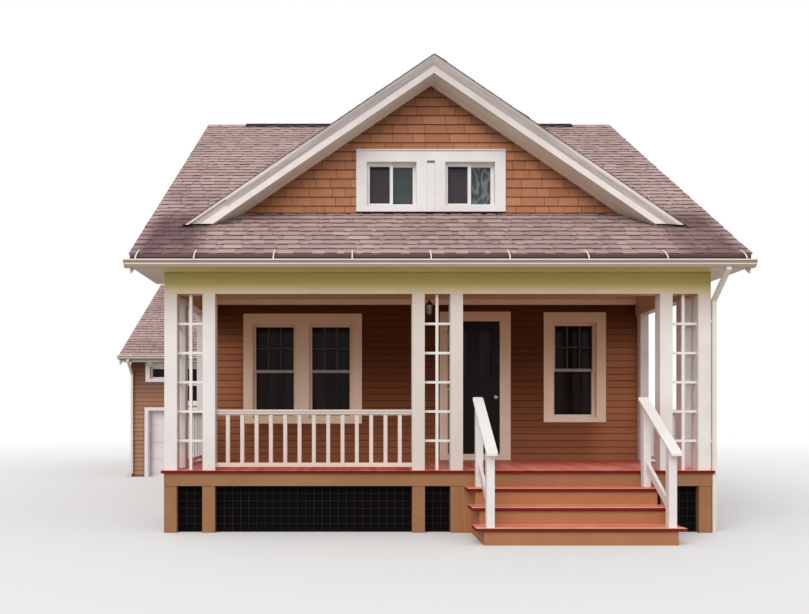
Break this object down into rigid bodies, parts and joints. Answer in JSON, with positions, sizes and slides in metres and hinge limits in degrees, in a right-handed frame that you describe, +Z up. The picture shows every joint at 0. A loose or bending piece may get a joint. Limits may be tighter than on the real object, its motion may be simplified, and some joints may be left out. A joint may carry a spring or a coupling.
{
  "type": "bungalow",
  "caption": "Bungalow with brown clapboard walls, a full-width front porch with paired posts, a shingled front gable and a low rear wing.",
  "frame": {"origin": "on the ground, on the house centreline, under the outer face of the front wall", "axes": "+X to the right as seen from the front, +Y to the back of the house, +Z up"},
  "size_m": [10.125, 16.375, 6.8672],
  "materials": {
    "siding": "painted narrow clapboard",
    "wall_shingle": "stained wood shingles",
    "roof_shingle": "granulated roof shingles",
    "trim_paint": "satin off-white paint",
    "ceiling_paint": "satin tan paint",
    "red_paint": "worn deck paint",
    "tan_paint": "satin deck paint",
    "dark_grid": "matt black",
    "door_black": "satin black paint",
    "window_glass": "dark clear glass",
    "knob_metal": "brushed",
    "white_metal": "baked white enamel",
    "lantern_metal": "matt black",
    "vent_black": "matt black",
    "lantern_glass": "amber-grey seeded glass",
    "foundation_block": "rough block",
    "concrete": "trowelled",
    "floor_board": "plain boards"
  },
  "bodies": {
    "root": {"foundation": "foundation_block", "house_floor": "floor_board", "front_wall_left": "siding", "front_wall_right": "siding", "front_wall_over_door": "siding", "left_wall": "siding", "right_wall": "siding", "rear_wall": "siding", "upper_floor": "floor_board", "main_roof_front": "roof_shingle", "main_roof_rear": "roof_shingle", "ridge_vent": "vent_black", "left_rake_trim": "trim_paint", "right_rake_trim": "trim_paint", "front_eave_trim": "trim_paint", "rear_eave_trim": "trim_paint", "gable_wall": "wall_shingle", "gable_roof": "roof_shingle", "gable_barge_boards": "trim_paint", "gable_soffit": "trim_paint", "gable_window": "trim_paint", "porch_floor": "red_paint", "porch_rim": "tan_paint", "porch_piers": "tan_paint", "porch_grids": "dark_grid", "porch_posts": "trim_paint", "porch_lattices": "trim_paint", "porch_beams": "trim_paint", "porch_ceiling": "ceiling_paint", "porch_gables": "siding", "front_railing": "trim_paint", "side_railings": "trim_paint", "stair_carriage": "tan_paint", "stair_treads": "red_paint", "handrails": "trim_paint", "door_frame": "trim_paint", "front_windows": "trim_paint", "side_windows": "trim_paint", "rear_windows": "trim_paint", "window_glass": "window_glass", "upper_glass": "window_glass", "gutters": "white_metal", "downspouts": "white_metal", "porch_light": "lantern_metal", "lantern_glass": "lantern_glass", "wing_floor": "concrete", "wing_front_wall": "siding", "wing_left_wall": "siding", "wing_right_wall": "siding", "wing_rear_wall": "siding", "wing_roof": "roof_shingle", "wing_rake_boards": "trim_paint", "wing_eave_trim": "trim_paint", "wing_door": "white_metal", "wing_windows": "trim_paint"},
    "door": {"front_door": "door_black", "door_glass": "window_glass", "door_knob": "knob_metal"}
  },
  "joints": [
    {"name": "front_door_hinge", "type": "hinge", "parent": "root", "child": "door", "pos_m": [0.388, -0.033, 1.86], "axis": [0, 0, -1], "range_deg": [0, 100]}
  ]
}
